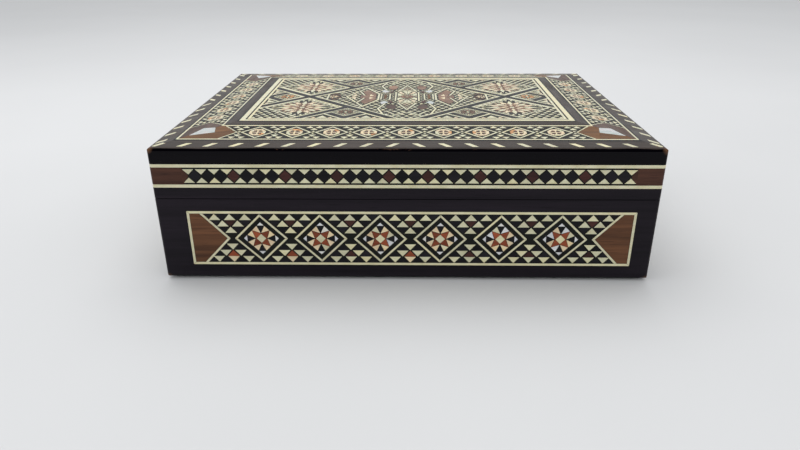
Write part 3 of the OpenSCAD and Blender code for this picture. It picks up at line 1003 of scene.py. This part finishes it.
def sloping_border():
    """Everything on the lid's slope but the dark frame."""
    dashes = slope_sheets([rope_dashes(index) for index in range(4)])
    edge_line = slope_lines((ROPE_IN - BLACK_LINE, ROPE_IN, "black"))
    sheets = [sheet for pair in zip(dashes, edge_line) for sheet in pair]
    make_piece("top_rope_dashes", sheets, "lid", None, 0.04)
    lines = slope_lines((ROPE_IN, BAND_IN, "bone"), (BAND_OUT, FRAME_IN, "bone"))
    make_piece("top_bone_lines_inlay", lines, "lid", "top_bone_lines", 0.05)
    bands = slope_sheets([star_band(index) for index in range(4)])
    make_piece("top_star_bands_inlay", bands, "lid", "top_star_bands")
    blocks, leaves = zip(*[corner_halves(index) for index in range(4)])
    make_piece("top_corner_blocks_inlay", slope_sheets(blocks), "lid", "top_corner_blocks")
    make_piece("top_pearl_leaves_inlay", slope_sheets(leaves), "lid", "top_pearl_leaves", 0.035)


def dark_frame():
    """Brown frame between two black lines, and the dark line in the bone frame."""
    outer, inner = FRAME_IN + BLACK_LINE, BONE_IN - BLACK_LINE
    sheets = slope_lines((FRAME_IN, outer, "black"), (outer, inner, "brown"), (inner, BONE_IN, "black"))
    strips = frame_on_top(BONE_IN + BONE_STRIP, BONE_GAP)
    sheets.append(([(strip, "black") for strip in strips], on_top))
    make_piece("top_dark_frame_inlay", sheets, "lid", "top_dark_frame", 0.02)


# ---- flat middle of the lid

STRAP_SUM = 47.6  # the crossing straps run where |x| + |y| or |x| - |y| is this
STRAP = 3.3  # width of a strap's dark middle
STRAP_EDGE = 0.95  # bone line on each side of a strap
SMALL = 7.2  # half diagonal of the patterned diamonds that the straps enclose
SMALL_PLACES = ((27.2, 30.0), (58.4, 0.0))
GABLES = (17.6, 36.7)  # middles of the small gables on the long sides
SIDE_GABLE = 10.2  # and of those on the short sides
GABLE = 8.2  # half width and height of a gable's ground
BURST_AT = (48.0, 21.6)  # middle of the burst in a corner
BURST = 17.4  # half diagonal of its square
BURST_TEETH = (15.2, 2.4)  # half diagonal of the ring of teeth, and their length
BURST_HEART = 9.5  # half diagonal of the brown octagon under the petals
PETAL = (4.4, 12.6)  # where a petal starts, and how far it may reach
# Rings of kites in a burst: where they start and end, half width, look, turn and place of the belly.
BURST_RINGS = ((3.4, 7.0, 0.95, "copper", 22.5, 0.5), (1.9, 5.6, 0.95, "cream", 0, 0.6),
               (1.2, 4.0, 0.55, "copper", 22.5, 0.55))
PANEL_TRIANGLES = (3.6, 2.7)  # pitch and row height of the field
STRIP = 0.95  # width of a bone strip
STRIP_MARGIN = 0.45  # dark wood on each side of it

# Outlines in the right half or the upper right quarter of the panel, mirrored where they are laid.
KITE = ((13.4, 6.5), (20.6, 20.8), (30.0, 0), (20.6, -20.8), (13.4, -6.5))
KITE_WOOD = ((14.9, 6.2), (19.6, 15.4), (22.2, 11.0), (23.2, 0), (22.2, -11.0), (19.6, -15.4), (14.9, -6.2))
KITE_LINE = ((20.8, 2.6), (24.0, 13.0))
KITE_CHIPS = (((24.6, 1.2), (27.4, 0.9), (24.9, 6.6)), ((16.0, 2.2), (18.6, 1.0), (18.2, 5.4)))
RAYS = ((38.2, 7.4), (33.8, 8.4), (32.0, 0), (33.8, -8.4), (38.2, -7.4))
RAYS_MIDDLE = 36.2
RAYS_BAR = ((38.6, -7.8), (38.6, 7.8))
RAYS_ROOF = ((38.6, 7.6), (31.6, 9.6))
ARCH = ((-5.0, 12.6), (5.0, 12.6), (0, 27.0))
STAR_BARS = ((5.6, 9.0, "bone"), (8.4, 6.0, "bone"), (10.6, 4.4, "walnut"), (12.6, 5.8, "bone"))
STAR_CHIPS = (
    ("cream", ((0.5, 4.2), (4.4, 8.2), (3.4, 12.0))),
    ("bone", ((1.6, 3.2), (4.8, 2.0), (4.8, 7.2))),
    ("bone", ((0, 4.6), (2.4, 12.0), (0, 12.0))),
)
HEART = ((13.4, -9), (13.4, 9), (10.6, 14.4), (-10.6, 14.4), (-13.4, 9), (-13.4, -9), (-10.6, -14.4),
         (10.6, -14.4))
HEART_LINES = (((9.6, 37.6), (13.2, 23.6)), ((5.2, 40.4), (9.6, 36.8)), ((0.4, 30.4), (6.2, 36.6)),
               ((8.6, 29.0), (5.4, 34.4)), ((13.2, 24.0), (10.4, 14.4)))
PATCH = ((5.2, 17.4), (7.4, 14.6), (9.6, 17.6), (10.0, 22.6), (6.8, 26.4), (4.4, 22.6))
PEARL_LEAF = ((8.6, 12.0), (10.8, 8.2), (13.0, 11.4), (12.0, 15.6))
RED_BIT = ((6.3, 12.4), (7.4, 8.2), (9.4, 8.6), (8.0, 12.8))


def bone_frame():
    """The two bone strips round the middle panel."""
    inner = BONE_IN + BONE_STRIP + BONE_GAP
    strips = frame_on_top(BONE_IN, BONE_STRIP) + frame_on_top(inner, CENTRE_IN - inner)
    sheet = [(shrunk(anticlockwise(strip), 0.02), "bone") for strip in strips]
    make_piece("top_bone_frame_inlay", [(sheet, on_top)], "lid", "top_bone_frame", 0.04)


def reach_of_square(degrees, half_diagonal):
    """Distance from the middle to the side of a square on its point."""
    angle = math.radians(degrees)
    return half_diagonal / (abs(math.cos(angle)) + abs(math.sin(angle)))


def corner_burst(panel, x, y):
    """Square on its point, filled with a burst of ivory petals round a brown star."""
    outlined(panel, diamond(x, y, BURST), 0.9)
    half_diagonal, length = BURST_TEETH
    for k in range(32):
        angle = 360 * (k + 0.5) / 32
        rim = reach_of_square(angle, half_diagonal)
        tooth = [(rim, -0.75), (rim, 0.75), (rim - length, 0)]
        panel.lay(turned(tooth, angle, x, y), "copper" if k % 8 in (3, 4) else "bone", 0.04)
    panel.lay(turned(polygon(8, BURST_HEART), 0, x, y), "copper", 0.02)
    start, longest = PETAL
    for k in range(16):
        angle = 360 * k / 16
        far = min(reach_of_square(angle, 15.4), longest)
        petal = [(start, 0), (far * 0.62, -1.25), (far, 0), (far * 0.62, 1.25)]
        panel.lay(turned(petal, angle, x, y), "cream" if k % 2 else "bone", 0.05)
    for ring in BURST_RINGS:
        kites(panel, x, y, 8, *ring)
    panel.lay(turned(diamond(0, 0, 1.5), 45, x, y), "bone")


def bone_strip(panel, a, b, width=STRIP):
    """A bone line with a little dark wood on each side of it."""
    panel.clear(line(a, b, width + 2 * STRIP_MARGIN))
    panel.lay(line(a, b, width), "bone", 0.02)


def small_diamond(panel, x, y, star):
    """Diamond with a border of small triangles round a star."""
    outlined(panel, diamond(x, y, SMALL), 0.6)
    for k in range(4):
        for step in (-1, 0, 1):
            tooth = [(3.6, step * 1.9 - 0.8), (3.6, step * 1.9 + 0.8), (2.5, step * 1.9)]
            panel.lay(turned(tooth, 45 + 90 * k, x, y), "bone", 0.03)
    kites(panel, x, y, 8, 0.9, 4.0, 0.72, star, 0, 0.55)
    kites(panel, x, y, 4, 3.9, 5.4, 0.55, "bone", 0, 0.5)
    panel.lay(diamond(x, y, 1.0), "bone")


def straps(panel):
    """Dark straps that cross on the short axis and enclose the small diamonds."""
    ring = SMALL + (STRAP + STRAP_EDGE) * math.sqrt(2)
    places = [place for point in SMALL_PLACES for place, in mirrored([point])]
    for place in places:
        panel.lay(outlined(panel, diamond(*place, ring), STRAP_EDGE), "black", 0.02)
    x, y = SMALL_PLACES[0]
    diagonal = x - y + SMALL + STRAP / math.sqrt(2)
    frame_side = HALF_D - CENTRE_IN
    short = [(diagonal + x - 8, x - 8), (diagonal + frame_side + 3, frame_side + 3)]
    long = [(STRAP_SUM + 30, -30), (STRAP_SUM - 60, 60)]
    for look, width in (("bone", STRAP + 2 * STRAP_EDGE), ("black", STRAP)):
        for strip in mirrored(line(*short, width)) + mirrored(line(*long, width)):
            panel.lay(strip, look, 0.0)
    for place in places:
        small_diamond(panel, *place, "orange" if place[1] == 0 else "copper")


def edge_gable(panel, turn, along, sign):
    """Pale pieces in the dark triangle that two straps leave at the frame's edge. turn is 0 for the long
    sides and 90 for the short ones."""
    foot = (HALF_W if turn else HALF_D) - CENTRE_IN

    def triangle(middle, half, height, rise):
        outline = wedge(middle, half, foot - rise, foot - rise - height)
        return [(y * sign, x) if turn else (x, y * sign) for x, y in outline]

    panel.clear(triangle(along, GABLE, GABLE, 0))
    panel.lay(triangle(along, 2.5, 3.8, 0.9), "bone")
    for k in SIGNS:
        panel.lay(triangle(along + k * 3.6, 1.3, 1.8, 0.6), "cream")


def side_kite(panel, sign):
    """The tall kite beside the middle star: brown wood inside, small pieces and bone chevrons outside."""
    inner = outlined(panel, flipped(KITE, sign), 1.0, 0.5)
    triangle_field(panel, shrunk(inner, 0.35), 2.9, 2.3)
    panel.lay(flipped(KITE_WOOD, sign), "copper", 0.3)
    for up in SIGNS:
        bone_strip(panel, *flipped(KITE_LINE, sign, up))
        for chip, joint in zip(KITE_CHIPS, (0.15, 0.1)):
            panel.lay(flipped(chip, sign, up), "cream", joint)


def inner_rays(panel, sign):
    """Small pieces between the tall kite and the straps' crossing, closed by a bone line."""
    region = anticlockwise(flipped(RAYS, sign))
    panel.clear(region)
    triangle_field(panel, region, 2.6, 2.1, "copper")
    kites(panel, sign * RAYS_MIDDLE, 0, 8, 0.5, 2.9, 0.55, "cream", 0)
    bone_strip(panel, *flipped(RAYS_BAR, sign))
    for up in SIGNS:
        bone_strip(panel, *flipped(RAYS_ROOF, sign, up))


def middle_star(panel):
    """Star of ivory petals between bone verticals, with a pale pointed arch above and below."""
    for up in SIGNS:
        inner = outlined(panel, flipped(ARCH, 1, up), STRIP, 0.5)
        triangle_field(panel, shrunk(inner, 0.3), 2.3, 1.9, "cream")
    for sign in SIGNS:
        for x, half, look in STAR_BARS:
            ends = (sign * x, -half), (sign * x, half)
            if look == "bone":
                bone_strip(panel, *ends, 0.8)
            else:
                panel.lay(line(*ends, 1.5), look, 0.1)
        for up in SIGNS:
            for look, chip in STAR_CHIPS:
                panel.lay(flipped(chip, sign, up), look, 0.1)
    kites(panel, 0, 0, 8, 0.4, 4.2, 0.95, "copper", 0, 0.55)
    kites(panel, 0, 0, 4, 0.4, 3.2, 0.7, "copper", 45, 0.5)


def medallion(panel):
    """Everything inside the big diamond."""
    big_diamond = within(diamond(0, 0, STRAP_SUM), panel.region)
    panel.clear(big_diamond)
    triangle_field(panel, big_diamond, *PANEL_TRIANGLES)
    panel.clear(HEART)
    triangle_field(panel, HEART, 2.2, 1.8)
    for sign in SIGNS:
        side_kite(panel, sign)
        inner_rays(panel, sign)
    for ends in HEART_LINES:
        for strip in mirrored(ends):
            bone_strip(panel, *strip)
    for patch in mirrored(PATCH):
        panel.lay(patch, "copper" if patch[0][1] > 0 else "plum", 0.3)
    for leaf in mirrored(PEARL_LEAF):
        panel.lay(leaf, "pearl", 0.2)
    for bit in mirrored(RED_BIT):
        panel.lay(bit, "maroon", 0.15)
    middle_star(panel)


def centre_panel():
    """The marquetry of the flat middle."""
    half_w, half_d = HALF_W - CENTRE_IN, HALF_D - CENTRE_IN
    panel = Inlay(rectangle(-half_w, -half_d, half_w, half_d), joint=0.05)
    triangle_field(panel, panel.region, *PANEL_TRIANGLES)
    medallion(panel)
    for (x, y), in mirrored([BURST_AT]):
        corner_burst(panel, x, y)
    for sign in SIGNS:
        for side in SIGNS:
            for x in GABLES:
                edge_gable(panel, 0, side * x, sign)
            edge_gable(panel, 90, side * SIDE_GABLE, sign)
    straps(panel)
    sheet = [(list(panel.region), "ground")] + panel.tesserae
    make_piece("top_centre_panel_inlay", [(sheet, on_top)], "lid", "top_centre_panel")


for index in range(4):
    side_panel(index)
    rail_band(index)
sloping_border()
dark_frame()
bone_frame()
centre_panel()


# ---- floor, light and camera

FLOOR_DROP = 0.0002  # keeps the floor clear of the box's underside, in metres
LENS = 28.85
CAMERA_PLACE = (0.00244, cad_low.y - 0.23651, 0.13124)
CAMERA_TURNS = ((1.152, "Z"), (90 - 24.166, "X"), (-0.262, "Z"))  # heading, tilt and roll, in degrees


def make_floor():
    """A plain floor under the box."""
    mesh = bmesh.new()
    bmesh.ops.create_grid(mesh, x_segments=8, y_segments=8, size=4.0)
    floor = link_mesh("studio_floor", mesh, [studio_floor("pale_floor")])
    floor.location.z = -FLOOR_DROP


def area_light(name, place, target, size, power):
    """A soft box at a place, aimed at a target."""
    data = bpy.data.lights.new(name, "AREA")
    data.shape = "RECTANGLE"
    data.size, data.size_y = size
    data.energy = power
    lamp = add_object(name, data)
    lamp.location = place
    lamp.rotation_euler = (Vector(target) - Vector(place)).to_track_quat("-Z", "Y").to_euler()


def pale_world(colour, strength):
    """Even light from all round."""
    world = bpy.data.worlds.new("studio_air")
    world.use_nodes = True
    background = world.node_tree.nodes["Background"]
    background.inputs["Color"].default_value = (*colour, 1.0)
    background.inputs["Strength"].default_value = strength
    bpy.context.scene.world = world


def make_camera():
    """A camera a quarter of a metre from the box's front, looking down at it by 24 degrees."""
    data = bpy.data.cameras.new("camera")
    data.lens = LENS
    data.sensor_width = 36.0
    data.clip_start = 0.01
    camera = add_object("camera", data)
    camera.location = CAMERA_PLACE
    turn, tilt, roll = (Matrix.Rotation(math.radians(angle), 3, axis) for angle, axis in CAMERA_TURNS)
    camera.rotation_euler = (turn @ tilt @ roll).to_euler()
    bpy.context.scene.camera = camera


make_floor()
pale_world((0.97, 0.985, 1.0), 0.86)
area_light("softbox_above", (-0.12, 0.22, 0.78), (0, 0.02, 0.03), (1.0, 0.7), 4.0)
area_light("softbox_front", (0.3, -0.9, 0.5), (0, 0, 0.03), (0.9, 0.6), 1.0)
make_camera()
bpy.context.scene.view_settings.view_transform = "Standard"
